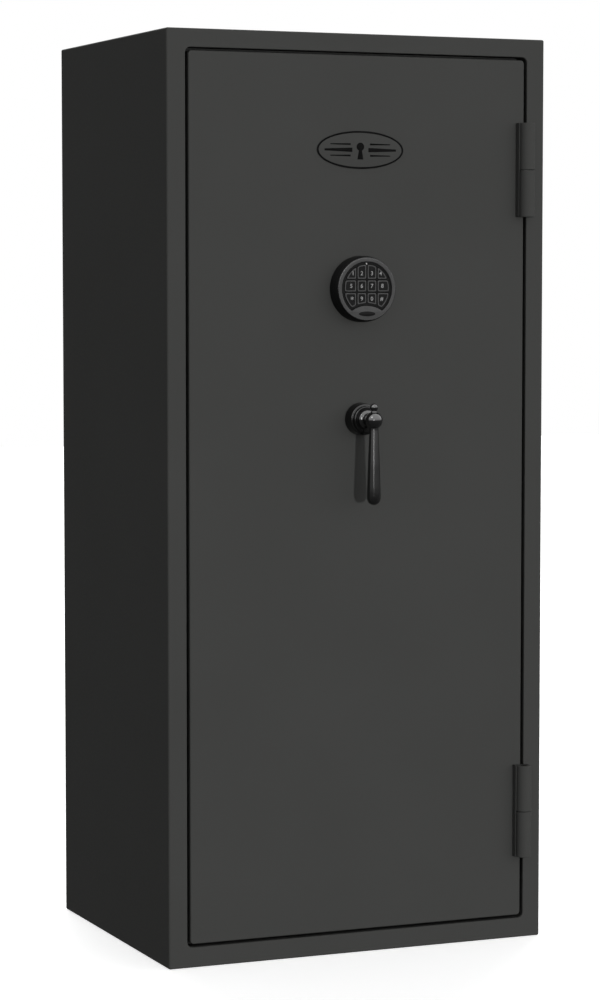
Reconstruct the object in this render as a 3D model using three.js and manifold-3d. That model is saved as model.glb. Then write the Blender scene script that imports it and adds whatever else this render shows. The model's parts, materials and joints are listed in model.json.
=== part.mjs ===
// Gun safe: a folded steel body with a hinged door, external hinges, an electronic keypad lock,
// a lever handle that drives the locking bolts by rack and pinion, and a carpeted interior.
// Millimetres, +Z up. The origin is the centre of the footprint, on the underside.
// -Y is the door side and +X the hinge side. Depths are counted backwards from the front plane.

import * as THREE from "three";
import { mergeVertices } from "three/addons/utils/BufferGeometryUtils.js";
import Module from "manifold-3d";

const wasm = await Module();
wasm.setup();

// Body
const WIDTH = 655;
const DEPTH = 506;
const HEIGHT = 1473;
const SHEET = 3; // steel of the body and the door
const EDGE_RADIUS = 3; // bend radius of the body's long edges
const GAP = 0.3; // between pieces that touch
const FRONT = -DEPTH / 2;
const BACK = DEPTH / 2;

// Door opening and jamb
const FRAME_SIDE = 31;
const FRAME_TOP = 29;
const FRAME_BOTTOM = 32.5;
const OPENING_RADIUS = 9;
const JAMB_SHEET = 2.5;
const JAMB_DEPTH = 33;
const STOP_WIDTH = 12;
const SEAL_DEPTH = 28.5;
const SEAL_THICK = 1.7;
const SEAL_INSETS = [1, 10];

// Floor anchors
const ANCHOR_RADIUS = 7;
const ANCHOR_X = 240;
const ANCHOR_Y = 160;

// Lining and interior furniture
const BOARD = 12.7;
const CARPET = 3;
const LINING_START = 36;
const SHELF = 16;
const FURNITURE_FRONT = FRONT + 88;
const TOP_SHELF_Z = 1180;
const HALF_SHELF_Z = { upper: 790, lower: 400 };
const DIVIDER_X = 40;
const RACK_Z = 900;
const RACK_THICK = 18;
const RACK_REACH = 85;
const NOTCH_RADIUS = 14;
const NOTCH_DEPTH = 42;
const NOTCH_PITCH = 55;
const NOTCH_COUNT = 6;

// Door
const DOOR_GAP = 5.2;
const DOOR_RADIUS = 6;
const PAN_DEPTH = 28;
const FILLER_DEPTH = 25.3;
const INNER_PLATE = 2;
const CHASSIS_HALF_WIDTH = 274;
const CHASSIS_INSET = 18;
const CHASSIS_START = 27.9;
const CHASSIS_END = 68;
const RAIL_SLOT = { halfWidth: 70, depths: [38, 60] };
const COVER_THICK = 3;
const COVER_MARGIN = 2;

// Hinges
const HINGE_X = 290.8;
const HINGE_STANDOFF = 13;
const HINGE_HEIGHT = 151.6;
const HINGE_Z = { upper: 1186, lower: 137 };
const BARREL_RADIUS = 12.5;
const BARREL_CHAMFER = 1.2;
const KNUCKLE_GAP = 0.6;
const PIN_RADIUS = 6;
const PIN_CLEARANCE = 0.1;
const LEAF_REACH = 14.3;
const LEAF_FRONT = 1;
const FOOT_REACH = 14.2;
const FOOT_FRONT = 2;
const FOOT_ROOT = 5;
const COVE_RADIUS = 13.4;

// Boltwork, with its centre plane at one depth
const BOLTWORK_DEPTH = 50;
const BAR_THICK = 8;
const BAR_X = [-244, -226];
const BAR_Z = [235, 1235];
const BOLT_RADIUS = 12.5;
const BOLT_HOLE_RADIUS = 12.8;
const BOLT_TIP_X = -276;
const BOLT_CHAMFER = 2;
const BOLT_Z = [330, 610, 890, 1170];
const GEAR_MODULE = 2;
const PINION_TEETH = 16;
const PRESSURE_ANGLE = THREE.MathUtils.degToRad(20);
const BACKLASH = 0.3;
const TOOTH_HEIGHT = 1.8;
const TOOTH_ROOT = 2.5;
const RACK_BODY = 14;
const RACK_TEETH = 10;
const RACK_END_X = 48;
const LOCK_ARM_Z = [985, 1000];
const FINGER_X = [8.5, 16.5];
const FINGER_TOP = 1022;
const DEAD_BAR_TIP_X = 293;
const DEAD_BAR_Z = [140, 1340];
const DEAD_BAR_THICK = 4;
const DEAD_BAR_DEPTHS = [38, 60];

// Electronic lock
const LOCK_HALF_WIDTH = 30;
const LOCK_Z = [1030, 1112];
const LOCK_DEPTHS = [31.4, 62];
const LOCK_BOLT_HALF = { x: 7, y: 6 };
const LOCK_BOLT_Z = [1026, 1058];
const HARD_PLATE = { halfWidth: 60, thick: 3.1, z: [1008, 1132], hole: 5 };
const CABLE_RADIUS = 2.2;
const CABLE_HOLE_RADIUS = 6;

// Keypad: standoffs are counted forwards from the door's face
const KEYPAD_Z = 1070;
const KEYPAD_STANDOFF = 28;
const KEYPAD_PROFILE = [[52.5, GAP], [52.5, 15], [51.8, 21], [50.6, 26], [48.6, KEYPAD_STANDOFF]];
const KEYPAD_CAVITY = { radius: 47, standoff: 25 };
const FIELD_RADIUS = 43.5;
const FIELD_ARC = { radius: 47.2, below: 73.9 };
const FACE_STANDOFFS = [22, 26.4];
const KEY_STANDOFFS = [22.8, 27.4];
const KEY_RADIUS = 38.8;
const KEY_ARC_MARGIN = 4.2;
const KEY_HALF_GAP = 1.1;
const KEY_POCKET_MARGIN = 0.35;
const KEY_COLUMNS = [-40, -17.5, 0, 17.5, 40];
const KEY_ROWS = [40, 14.8, -5.2, -40];
const KEY_NAMES = [
  ["key_1", "key_2", "key_3", "key_4"],
  ["key_5", "key_6", "key_7", "key_8"],
  ["key_star", "key_9", "key_0", "key_hash"],
];
const BATTERY = { x: [-24, 24], z: [-34, -8], standoffs: [2, 19] };
const CABLE_STANDOFF = 20;

// Handle: standoffs are counted forwards from the door's face
const HANDLE_Z = 863;
const ROSETTE_BORE = 8;
const ROSETTE_PROFILE = [[26, GAP], [26, 4], [24.8, 19], [23.8, 21.5], [21.6, 22], [21.2, 27], [20, 28.4]];
const LEVER_STANDOFF = 55;
const HUB_DISC = { radius: 15.2, standoffs: [28.8, 33] };
const NECK_RADIUS = 10;
const BALL_RADIUS = 13.8;
const LEVER_TOP_RADIUS = 7.6;
const LEVER_END_RADIUS = 11.2;
const LEVER_END = 124;
const LEVER_DOME = 10.5;
const FINIAL = { radius: 6.5, height: 20.2, neck: 4.6 };
const SPINDLE_RADIUS = 6;
const SPINDLE_HOLE_RADIUS = 7.5;
const SPINDLE_DEPTH = 56;
const SPINDLE_STANDOFF = 43.7;

// Badge
const BADGE = { z: 1290, halfWidth: 75, halfHeight: 30, thick: 1.2 };

const ROUND = 32; // facets of a round piece

const MATERIALS = {
  paint: new THREE.MeshStandardMaterial({ color: 0x40403f, roughness: 0.6, metalness: 0.1 }),
  gloss: new THREE.MeshStandardMaterial({ color: 0x141414, roughness: 0.2, metalness: 0.3 }),
  plastic: new THREE.MeshStandardMaterial({ color: 0x2a2a2a, roughness: 0.5, metalness: 0 }),
  keys: new THREE.MeshStandardMaterial({ color: 0x0c0c0c, roughness: 0.6, metalness: 0 }),
  steel: new THREE.MeshStandardMaterial({ color: 0xa8a8a8, roughness: 0.35, metalness: 0.9 }),
  brass: new THREE.MeshStandardMaterial({ color: 0xb08d4f, roughness: 0.35, metalness: 0.9 }),
  board: new THREE.MeshStandardMaterial({ color: 0xc9c4b8, roughness: 0.95, metalness: 0 }),
  carpet: new THREE.MeshStandardMaterial({ color: 0x55524d, roughness: 1, metalness: 0 }),
  rubber: new THREE.MeshStandardMaterial({ color: 0x161616, roughness: 0.8, metalness: 0 }),
};

// ---- Solids ----

function solidOf(geometry) {
  const bare = geometry.clone();
  bare.deleteAttribute("normal");
  bare.deleteAttribute("uv");
  const merged = mergeVertices(bare, 1e-4);
  return new wasm.Manifold(
    new wasm.Mesh({
      numProp: 3,
      vertProperties: new Float32Array(merged.attributes.position.array),
      triVerts: new Uint32Array(merged.index.array),
    }),
  );
}

function geometryOf(solid) {
  const mesh = solid.getMesh();
  const geometry = new THREE.BufferGeometry();
  geometry.setAttribute("position", new THREE.BufferAttribute(mesh.vertProperties, 3));
  geometry.setIndex(new THREE.BufferAttribute(mesh.triVerts, 1));
  geometry.computeVertexNormals();
  return geometry;
}

function block([x0, x1], [y0, y1], [z0, z1]) {
  const geometry = new THREE.BoxGeometry(x1 - x0, y1 - y0, z1 - z0);
  geometry.translate((x0 + x1) / 2, (y0 + y1) / 2, (z0 + z1) / 2);
  return solidOf(geometry);
}

// A shape drawn in X and Z, extruded in Y.
function plate(shape, [y0, y1], curveSegments = 8) {
  const geometry = new THREE.ExtrudeGeometry(shape, { depth: y1 - y0, bevelEnabled: false, curveSegments });
  geometry.rotateX(Math.PI / 2);
  geometry.translate(0, y1, 0);
  return solidOf(geometry);
}

// A shape drawn in X and Y, extruded in Z.
function slab(shape, [z0, z1], curveSegments = 8) {
  const geometry = new THREE.ExtrudeGeometry(shape, { depth: z1 - z0, bevelEnabled: false, curveSegments });
  geometry.translate(0, 0, z0);
  return solidOf(geometry);
}

// A profile of [radius, height] points from the axis at the bottom to the axis at the top.
function latheY(profile, segments = ROUND) {
  return solidOf(new THREE.LatheGeometry(profile.map(([r, h]) => new THREE.Vector2(r, h)), segments));
}

function latheZ(profile, segments = ROUND) {
  const geometry = new THREE.LatheGeometry(profile.map(([r, h]) => new THREE.Vector2(r, h)), segments);
  geometry.rotateX(Math.PI / 2);
  return solidOf(geometry);
}

function latheX(profile, segments = ROUND) {
  const geometry = new THREE.LatheGeometry(profile.map(([r, h]) => new THREE.Vector2(r, h)), segments);
  geometry.rotateZ(-Math.PI / 2);
  return solidOf(geometry);
}

function rod(radius, [low, high]) {
  return [[0, low], [radius, low], [radius, high], [0, high]];
}

// A profile given by standoffs from the door's face, turned about the Y axis.
function standoffLathe(points, segments = ROUND) {
  const closed = [[0, points[0][1]], ...points, [0, points.at(-1)[1]]];
  return latheY(closed.map(([r, s]) => [r, -s]).reverse(), segments);
}

// ---- Rectangles in the XZ plane ----

const OPENING = {
  x0: -WIDTH / 2 + FRAME_SIDE,
  x1: WIDTH / 2 - FRAME_SIDE,
  z0: FRAME_BOTTOM,
  z1: HEIGHT - FRAME_TOP,
};

function inset(rect, by) {
  return { x0: rect.x0 + by, x1: rect.x1 - by, z0: rect.z0 + by, z1: rect.z1 - by };
}

function roundedShape({ x0, x1, z0, z1 }, radius) {
  const shape = new THREE.Shape();
  shape.moveTo(x0 + radius, z0);
  shape.lineTo(x1 - radius, z0);
  shape.absarc(x1 - radius, z0 + radius, radius, -Math.PI / 2, 0);
  shape.lineTo(x1, z1 - radius);
  shape.absarc(x1 - radius, z1 - radius, radius, 0, Math.PI / 2);
  shape.lineTo(x0 + radius, z1);
  shape.absarc(x0 + radius, z1 - radius, radius, Math.PI / 2, Math.PI);
  shape.lineTo(x0, z0 + radius);
  shape.absarc(x0 + radius, z0 + radius, radius, Math.PI, 1.5 * Math.PI);
  return shape;
}

function rectPlate(rect, y, radius) {
  return plate(roundedShape(rect, radius), y, 4);
}

function ringPlate(outer, inner, y, radius) {
  const through = [y[0] - 1, y[1] + 1];
  return rectPlate(outer, y, radius).subtract(rectPlate(inner, through, radius));
}

function behind(from, to) {
  return [FRONT + from, FRONT + to];
}

// ---- Scene graph ----

function addMesh(group, name, material, solid) {
  const mesh = new THREE.Mesh(geometryOf(solid), MATERIALS[material]);
  mesh.name = name;
  group.add(mesh);
}

function groupAt(parent, x, y, z) {
  const group = new THREE.Group();
  group.position.set(x, y, z);
  parent.add(group);
  return group;
}

// ---- Body ----

function bodyShell() {
  const outer = { x0: -WIDTH / 2, x1: WIDTH / 2, z0: 0, z1: HEIGHT };
  const inner = inset(outer, SHEET);
  let shell = rectPlate(outer, [FRONT, BACK], EDGE_RADIUS)
    .subtract(block([inner.x0, inner.x1], [FRONT + SHEET, BACK + 1], [inner.z0, inner.z1]))
    .subtract(rectPlate(OPENING, [FRONT - 1, FRONT + SHEET + 1], OPENING_RADIUS));
  for (const x of [-ANCHOR_X, ANCHOR_X]) {
    for (const y of [-ANCHOR_Y, ANCHOR_Y]) {
      shell = shell.subtract(latheZ(rod(ANCHOR_RADIUS, [-1, SHEET + 1]), ROUND / 2).translate([x, y, 0]));
    }
  }
  return shell;
}

function addSteelwork(group) {
  addMesh(group, "body_shell", "paint", bodyShell());
  const margin = SHEET + GAP;
  const half = WIDTH / 2 - margin;
  const rearSheet = block([-half, half], [BACK - SHEET, BACK], [margin, HEIGHT - margin]);
  addMesh(group, "back_panel", "paint", rearSheet);

  const jambOuter = inset(OPENING, -JAMB_SHEET);
  const jambReturn = ringPlate(jambOuter, OPENING, behind(SHEET + GAP, JAMB_DEPTH), OPENING_RADIUS);
  const stopY = behind(JAMB_DEPTH - JAMB_SHEET, JAMB_DEPTH);
  const stopFlange = ringPlate(jambOuter, inset(OPENING, STOP_WIDTH), stopY, OPENING_RADIUS);
  addMesh(group, "door_frame_jamb", "paint", jambReturn.add(stopFlange));

  const [sealOuter, sealInner] = SEAL_INSETS.map((by) => inset(OPENING, by));
  const sealY = behind(SEAL_DEPTH, SEAL_DEPTH + SEAL_THICK);
  addMesh(group, "door_seal", "rubber", ringPlate(sealOuter, sealInner, sealY, OPENING_RADIUS));
}

// The hollow left inside a five-sided lining of the given thickness.
function linedHollow({ x, back, floor, ceiling }, thick) {
  return {
    x: x - thick - GAP,
    back: back - thick - GAP,
    floor: floor + thick + GAP,
    ceiling: ceiling - thick - GAP,
  };
}

// Five sheets that line a hollow: floor and ceiling run its full width, and the back sits between the sides.
function addLining(group, names, material, hollow, thick) {
  const start = FRONT + LINING_START;
  const inner = linedHollow(hollow, thick);
  const wide = [-hollow.x, hollow.x];
  const deep = [start, hollow.back];
  const tall = [inner.floor, inner.ceiling];
  addMesh(group, names.floor, material, block(wide, deep, [hollow.floor, hollow.floor + thick]));
  addMesh(group, names.ceiling, material, block(wide, deep, [hollow.ceiling - thick, hollow.ceiling]));
  addMesh(group, names.left, material, block([-hollow.x, thick - hollow.x], deep, tall));
  addMesh(group, names.right, material, block([hollow.x - thick, hollow.x], deep, tall));
  addMesh(group, names.back, material, block([-inner.x, inner.x], [hollow.back - thick, hollow.back], tall));
  return inner;
}

function rackShape(x0, x1, backY) {
  const frontY = backY - RACK_REACH;
  const centreY = frontY + NOTCH_DEPTH - NOTCH_RADIUS;
  const firstX = (x0 + x1) / 2 - (NOTCH_PITCH * (NOTCH_COUNT - 1)) / 2;
  const shape = new THREE.Shape();
  shape.moveTo(x0, backY);
  shape.lineTo(x0, frontY);
  for (let i = 0; i < NOTCH_COUNT; i += 1) {
    const x = firstX + i * NOTCH_PITCH;
    shape.lineTo(x - NOTCH_RADIUS, frontY);
    shape.absarc(x, centreY, NOTCH_RADIUS, Math.PI, 0, true);
    shape.lineTo(x + NOTCH_RADIUS, frontY);
  }
  shape.lineTo(x1, frontY);
  shape.lineTo(x1, backY);
  return shape;
}

function addFurniture(group, room) {
  const y = [FURNITURE_FRONT, room.back];
  const dividerX = [DIVIDER_X, DIVIDER_X + SHELF];
  const shelfX = [dividerX[1] + GAP, room.x];
  const dividerZ = [room.floor, TOP_SHELF_Z - GAP];
  addMesh(group, "top_shelf", "carpet", block([-room.x, room.x], y, [TOP_SHELF_Z, TOP_SHELF_Z + SHELF]));
  addMesh(group, "shelf_divider", "carpet", block(dividerX, y, dividerZ));
  for (const [name, z] of Object.entries(HALF_SHELF_Z)) {
    addMesh(group, `half_shelf_${name}`, "carpet", block(shelfX, y, [z, z + SHELF]));
  }
  const rack = rackShape(-room.x, DIVIDER_X - GAP, room.back);
  addMesh(group, "barrel_rack", "carpet", slab(rack, [RACK_Z, RACK_Z + RACK_THICK]));
}

function addBody(root) {
  const body = groupAt(root, 0, 0, 0);
  addSteelwork(body);
  const margin = SHEET + GAP;
  const hollow = { x: WIDTH / 2 - margin, back: BACK - margin, floor: margin, ceiling: HEIGHT - margin };
  const boards = {
    floor: "fireboard_floor",
    ceiling: "fireboard_top",
    left: "fireboard_left",
    right: "fireboard_right",
    back: "fireboard_back",
  };
  const carpets = {
    floor: "carpet_floor",
    ceiling: "carpet_ceiling",
    left: "carpet_left",
    right: "carpet_right",
    back: "carpet_back",
  };
  const boarded = addLining(body, boards, "board", hollow, BOARD);
  const room = addLining(body, carpets, "carpet", boarded, CARPET);
  addFurniture(body, room);
}

// ---- Hinges ----

function barrel([low, high]) {
  const inner = BARREL_RADIUS - BARREL_CHAMFER;
  const profile = [
    [0, low],
    [inner, low],
    [BARREL_RADIUS, low + BARREL_CHAMFER],
    [BARREL_RADIUS, high - BARREL_CHAMFER],
    [inner, high],
    [0, high],
  ];
  return latheZ(profile);
}

// The axis is the local Z axis. The frame's knuckle is the lower half, and the door's leaf runs
// the full height with the upper half of the barrel, hollowed where it passes the lower half.
function addHinge(root, side) {
  const group = groupAt(root, HINGE_X, FRONT - HINGE_STANDOFF, HINGE_Z[side]);
  const split = HINGE_HEIGHT / 2;
  const lower = [0, split - KNUCKLE_GAP / 2];
  const upper = [split + KNUCKLE_GAP / 2, HINGE_HEIGHT];
  const rear = HINGE_STANDOFF - GAP;
  const bore = latheZ(rod(PIN_RADIUS + PIN_CLEARANCE, [-1, HINGE_HEIGHT + 1]));
  const foot = block([FOOT_ROOT, FOOT_REACH], [FOOT_FRONT, rear], lower);
  addMesh(group, `${side}_hinge_frame_knuckle`, "paint", barrel(lower).add(foot).subtract(bore));

  const bar = block([-LEAF_REACH, -FOOT_ROOT], [LEAF_FRONT, rear], [0, HINGE_HEIGHT]);
  const cove = latheZ(rod(COVE_RADIUS, [-1, upper[0]]));
  addMesh(group, `${side}_hinge_door_leaf`, "paint", bar.subtract(cove).add(barrel(upper)).subtract(bore));
  addMesh(group, `${side}_hinge_pin`, "steel", latheZ(rod(PIN_RADIUS, [0, HINGE_HEIGHT])));
}

// ---- Door ----

function doorHoles(rear) {
  const depths = [FRONT - 1, FRONT + rear + 1];
  const spindle = latheY(rod(SPINDLE_HOLE_RADIUS, depths), ROUND / 2).translate([0, 0, HANDLE_Z]);
  const cable = latheY(rod(CABLE_HOLE_RADIUS, depths), ROUND / 2).translate([0, 0, KEYPAD_Z]);
  return spindle.add(cable);
}

function addDoorPan(group) {
  const edge = inset(OPENING, DOOR_GAP);
  const inner = inset(edge, SHEET);
  const fill = inset(inner, GAP);
  const holes = doorHoles(PAN_DEPTH);
  const pan = rectPlate(edge, behind(0, PAN_DEPTH), DOOR_RADIUS)
    .subtract(rectPlate(inner, behind(SHEET, PAN_DEPTH + 1), DOOR_RADIUS - SHEET))
    .subtract(holes);
  addMesh(group, "door_panel", "paint", pan);
  const fillerY = behind(SHEET + GAP, FILLER_DEPTH);
  const plateY = behind(FILLER_DEPTH + GAP, FILLER_DEPTH + GAP + INNER_PLATE);
  const corner = DOOR_RADIUS - SHEET;
  addMesh(group, "door_fireboard", "board", rectPlate(fill, fillerY, corner).subtract(holes));
  addMesh(group, "door_inner_plate", "steel", rectPlate(fill, plateY, corner).subtract(holes));
}

function addChassis(group) {
  const outer = {
    x0: -CHASSIS_HALF_WIDTH,
    x1: CHASSIS_HALF_WIDTH,
    z0: OPENING.z0 + DOOR_GAP + CHASSIS_INSET,
    z1: OPENING.z1 - DOOR_GAP - CHASSIS_INSET,
  };
  let ring = ringPlate(outer, inset(outer, SHEET), behind(CHASSIS_START, CHASSIS_END), SHEET);
  for (const z of BOLT_Z) {
    const through = rod(BOLT_HOLE_RADIUS, [outer.x0 - 1, outer.x0 + SHEET + 1]);
    ring = ring.subtract(latheX(through).translate([0, FRONT + BOLTWORK_DEPTH, z]));
  }
  // Access slots through the bottom and the top rail.
  const slotX = [-RAIL_SLOT.halfWidth, RAIL_SLOT.halfWidth];
  ring = ring.subtract(block(slotX, behind(...RAIL_SLOT.depths), [outer.z0 - 1, outer.z0 + SHEET + 1]));
  ring = ring.subtract(block(slotX, behind(...RAIL_SLOT.depths), [outer.z1 - SHEET - 1, outer.z1 + 1]));
  addMesh(group, "boltwork_frame", "steel", ring);

  const coverY = behind(CHASSIS_END + GAP, CHASSIS_END + GAP + COVER_THICK);
  addMesh(group, "door_back_panel", "carpet", rectPlate(inset(outer, -COVER_MARGIN), coverY, SHEET));

  const wallX = CHASSIS_HALF_WIDTH + GAP;
  const web = block([wallX, wallX + DEAD_BAR_THICK], behind(...DEAD_BAR_DEPTHS), DEAD_BAR_Z);
  const hookY = behind(DEAD_BAR_DEPTHS[0], DEAD_BAR_DEPTHS[0] + DEAD_BAR_THICK);
  const hook = block([wallX, DEAD_BAR_TIP_X], hookY, DEAD_BAR_Z);
  addMesh(group, "hinge_dead_bar", "steel", web.add(hook));
}

function addLock(group) {
  const plateY = behind(CHASSIS_START, CHASSIS_START + HARD_PLATE.thick);
  const hole = latheY(rod(HARD_PLATE.hole, [plateY[0] - 1, plateY[1] + 1])).translate([0, 0, KEYPAD_Z]);
  const plateX = [-HARD_PLATE.halfWidth, HARD_PLATE.halfWidth];
  addMesh(group, "hard_plate", "steel", block(plateX, plateY, HARD_PLATE.z).subtract(hole));

  const centreY = FRONT + BOLTWORK_DEPTH;
  const { x, y } = LOCK_BOLT_HALF;
  const slot = block(
    [-x - GAP, x + GAP],
    [centreY - y - GAP, centreY + y + GAP],
    [LOCK_Z[0] - 1, LOCK_BOLT_Z[1] + GAP],
  );
  const caseX = [-LOCK_HALF_WIDTH, LOCK_HALF_WIDTH];
  addMesh(group, "lock_case", "steel", block(caseX, behind(...LOCK_DEPTHS), LOCK_Z).subtract(slot));
  addMesh(group, "lock_bolt", "brass", block([-x, x], [centreY - y, centreY + y], LOCK_BOLT_Z));
}

function addBadge(group) {
  const shape = new THREE.Shape();
  shape.absellipse(0, BADGE.z, BADGE.halfWidth, BADGE.halfHeight, 0, 2 * Math.PI);
  addMesh(group, "door_badge", "gloss", plate(shape, [FRONT - GAP - BADGE.thick, FRONT - GAP], 32));
}

// ---- Boltwork ----

const PITCH_RADIUS = (GEAR_MODULE * PINION_TEETH) / 2;

// Involute teeth, thinned by the backlash, with one tooth centred on +Z.
function pinionShape() {
  const base = PITCH_RADIUS * Math.cos(PRESSURE_ANGLE);
  const involute = (angle) => Math.tan(angle) - angle;
  const pitchHalf = Math.PI / (2 * PINION_TEETH) - BACKLASH / (2 * PITCH_RADIUS);
  const flank = [PITCH_RADIUS - TOOTH_ROOT];
  for (let i = 0; i <= 3; i += 1) {
    flank.push(base + ((PITCH_RADIUS + TOOTH_HEIGHT - base) * i) / 3);
  }
  const halfAngle = (radius) =>
    pitchHalf + involute(PRESSURE_ANGLE) - involute(Math.acos(Math.min(1, base / radius)));
  const points = [];
  for (let tooth = 0; tooth < PINION_TEETH; tooth += 1) {
    const centre = Math.PI / 2 + (2 * Math.PI * tooth) / PINION_TEETH;
    const rise = flank.map((radius) => [radius, centre - halfAngle(radius)]);
    const fall = flank.map((radius) => [radius, centre + halfAngle(radius)]).reverse();
    for (const [radius, angle] of [...rise, ...fall]) {
      points.push(new THREE.Vector2(radius * Math.cos(angle), radius * Math.sin(angle)));
    }
  }
  return new THREE.Shape(points);
}

// The rack's arm with straight-sided teeth on its lower edge and a tooth space centred over the pinion.
function rackArmShape() {
  const pitch = Math.PI * GEAR_MODULE;
  const pitchZ = HANDLE_Z + PITCH_RADIUS;
  const rootZ = pitchZ + TOOTH_ROOT;
  const tipZ = pitchZ - TOOTH_HEIGHT;
  const slope = Math.tan(PRESSURE_ANGLE);
  const pitchHalf = pitch / 4 - BACKLASH / 2;
  const rootHalf = pitchHalf + TOOTH_ROOT * slope;
  const tipHalf = pitchHalf - TOOTH_HEIGHT * slope;
  const shape = new THREE.Shape();
  shape.moveTo(BAR_X[0] + 1, rootZ);
  for (let tooth = 0; tooth < RACK_TEETH; tooth += 1) {
    const x = (tooth - 2.5) * pitch;
    shape.lineTo(x - rootHalf, rootZ);
    shape.lineTo(x - tipHalf, tipZ);
    shape.lineTo(x + tipHalf, tipZ);
    shape.lineTo(x + rootHalf, rootZ);
  }
  shape.lineTo(RACK_END_X, rootZ);
  shape.lineTo(RACK_END_X, rootZ + RACK_BODY);
  shape.lineTo(BAR_X[0] + 1, rootZ + RACK_BODY);
  return shape;
}

function addBoltwork(group) {
  const y = behind(BOLTWORK_DEPTH - BAR_THICK / 2, BOLTWORK_DEPTH + BAR_THICK / 2);
  const lockArm = block([BAR_X[0] + 1, FINGER_X[1]], y, LOCK_ARM_Z);
  const finger = block(FINGER_X, y, [LOCK_ARM_Z[0], FINGER_TOP]);
  const bar = block(BAR_X, y, BAR_Z).add(plate(rackArmShape(), y)).add(lockArm).add(finger);
  addMesh(group, "bolt_bar", "steel", bar);

  const profile = [
    [0, BOLT_TIP_X],
    [BOLT_RADIUS - BOLT_CHAMFER, BOLT_TIP_X],
    [BOLT_RADIUS, BOLT_TIP_X + BOLT_CHAMFER],
    [BOLT_RADIUS, BAR_X[0] - GAP],
    [0, BAR_X[0] - GAP],
  ];
  BOLT_Z.forEach((z, i) => {
    const bolt = latheX(profile).translate([0, FRONT + BOLTWORK_DEPTH, z]);
    addMesh(group, `locking_bolt_${i + 1}`, "steel", bolt);
  });
}

// ---- Handle ----

function leverSolid() {
  const [discRear, discFront] = HUB_DISC.standoffs;
  const hub = standoffLathe([
    [HUB_DISC.radius, discRear],
    [HUB_DISC.radius, discFront - 1],
    [HUB_DISC.radius - 2, discFront],
    [NECK_RADIUS, discFront],
    [NECK_RADIUS, LEVER_STANDOFF],
  ]);
  const ball = solidOf(new THREE.SphereGeometry(BALL_RADIUS, ROUND, ROUND / 2));
  const knob = new THREE.SphereGeometry(FINIAL.radius, ROUND / 2, ROUND / 4);
  const finial = solidOf(knob).translate([0, 0, FINIAL.height]);
  const dome = [];
  for (let i = 0; i <= 5; i += 1) {
    const angle = (i / 5) * (Math.PI / 2);
    dome.push([LEVER_END_RADIUS * Math.sin(angle), -LEVER_END - LEVER_DOME * Math.cos(angle)]);
  }
  const grip = latheZ([...dome, [LEVER_TOP_RADIUS, -BALL_RADIUS / 2], [0, -BALL_RADIUS / 2]]);
  const neck = latheZ(rod(FINIAL.neck, [0, FINIAL.height]), ROUND / 2);
  const lever = ball.add(finial).add(neck).add(grip).translate([0, -LEVER_STANDOFF, 0]);
  const socket = latheY(rod(SPINDLE_RADIUS + GAP, [-SPINDLE_STANDOFF - GAP, 0]));
  return hub.add(lever).subtract(socket);
}

function addHandle(root) {
  const group = groupAt(root, 0, FRONT, HANDLE_Z);
  const bore = latheY(rod(ROSETTE_BORE, [-HUB_DISC.standoffs[0], 1]));
  addMesh(group, "handle_rosette", "gloss", standoffLathe(ROSETTE_PROFILE).subtract(bore));
  addMesh(group, "handle_lever", "gloss", leverSolid());
  addMesh(group, "handle_spindle", "steel", latheY(rod(SPINDLE_RADIUS, [-SPINDLE_STANDOFF, SPINDLE_DEPTH])));
  const y = [BOLTWORK_DEPTH - BAR_THICK / 2, BOLTWORK_DEPTH + BAR_THICK / 2];
  const bush = latheY(rod(SPINDLE_RADIUS + GAP, [y[0] - 1, y[1] + 1]));
  addMesh(group, "drive_pinion", "steel", plate(pinionShape(), y).subtract(bush));
}

// ---- Keypad ----

// The key field: a disc with an arch taken out of its lower edge.
function fieldPrism(radius, archMargin, [rear, front]) {
  const y = [-front, -rear];
  const disc = latheY(rod(radius, y), 2 * ROUND);
  const archDepths = [y[0] - 1, y[1] + 1];
  const arch = latheY(rod(FIELD_ARC.radius + archMargin, archDepths), 2 * ROUND);
  return disc.subtract(arch.translate([0, 0, -FIELD_ARC.below]));
}

function keyPrism(row, column, margin, standoffs) {
  const shrink = KEY_HALF_GAP - margin;
  const x = [KEY_COLUMNS[column] + shrink, KEY_COLUMNS[column + 1] - shrink];
  const z = [KEY_ROWS[row + 1] + shrink, KEY_ROWS[row] - shrink];
  const cell = block(x, [-standoffs[1], -standoffs[0]], z);
  return fieldPrism(KEY_RADIUS + margin, KEY_ARC_MARGIN - margin, standoffs).intersect(cell);
}

function addKeys(group) {
  let pockets = null;
  const pocketStandoffs = [FACE_STANDOFFS[0] - 1, FACE_STANDOFFS[1] + 1];
  KEY_NAMES.forEach((names, row) => {
    names.forEach((name, column) => {
      addMesh(group, name, "keys", keyPrism(row, column, 0, KEY_STANDOFFS));
      const pocket = keyPrism(row, column, KEY_POCKET_MARGIN, pocketStandoffs);
      pockets = pockets ? pockets.add(pocket) : pocket;
    });
  });
  const face = fieldPrism(FIELD_RADIUS - GAP, GAP, FACE_STANDOFFS).subtract(pockets);
  addMesh(group, "keypad_face", "plastic", face);
}

function addKeypad(root) {
  const group = groupAt(root, 0, FRONT, KEYPAD_Z);
  const cavity = latheY(rod(KEYPAD_CAVITY.radius, [-KEYPAD_CAVITY.standoff, 1]), 2 * ROUND);
  const window = fieldPrism(FIELD_RADIUS, 0, [KEYPAD_CAVITY.standoff - 1, KEYPAD_STANDOFF + 1]);
  const housing = standoffLathe(KEYPAD_PROFILE, 2 * ROUND).subtract(cavity).subtract(window);
  addMesh(group, "keypad_housing", "plastic", housing);
  addKeys(group);
  const [rear, front] = BATTERY.standoffs;
  addMesh(group, "keypad_battery", "plastic", block(BATTERY.x, [-front, -rear], BATTERY.z));
  const cable = rod(CABLE_RADIUS, [-CABLE_STANDOFF, LOCK_DEPTHS[0] - GAP]);
  addMesh(group, "lock_cable", "rubber", latheY(cable, ROUND / 4));
}

// ---- Assembly ----

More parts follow.
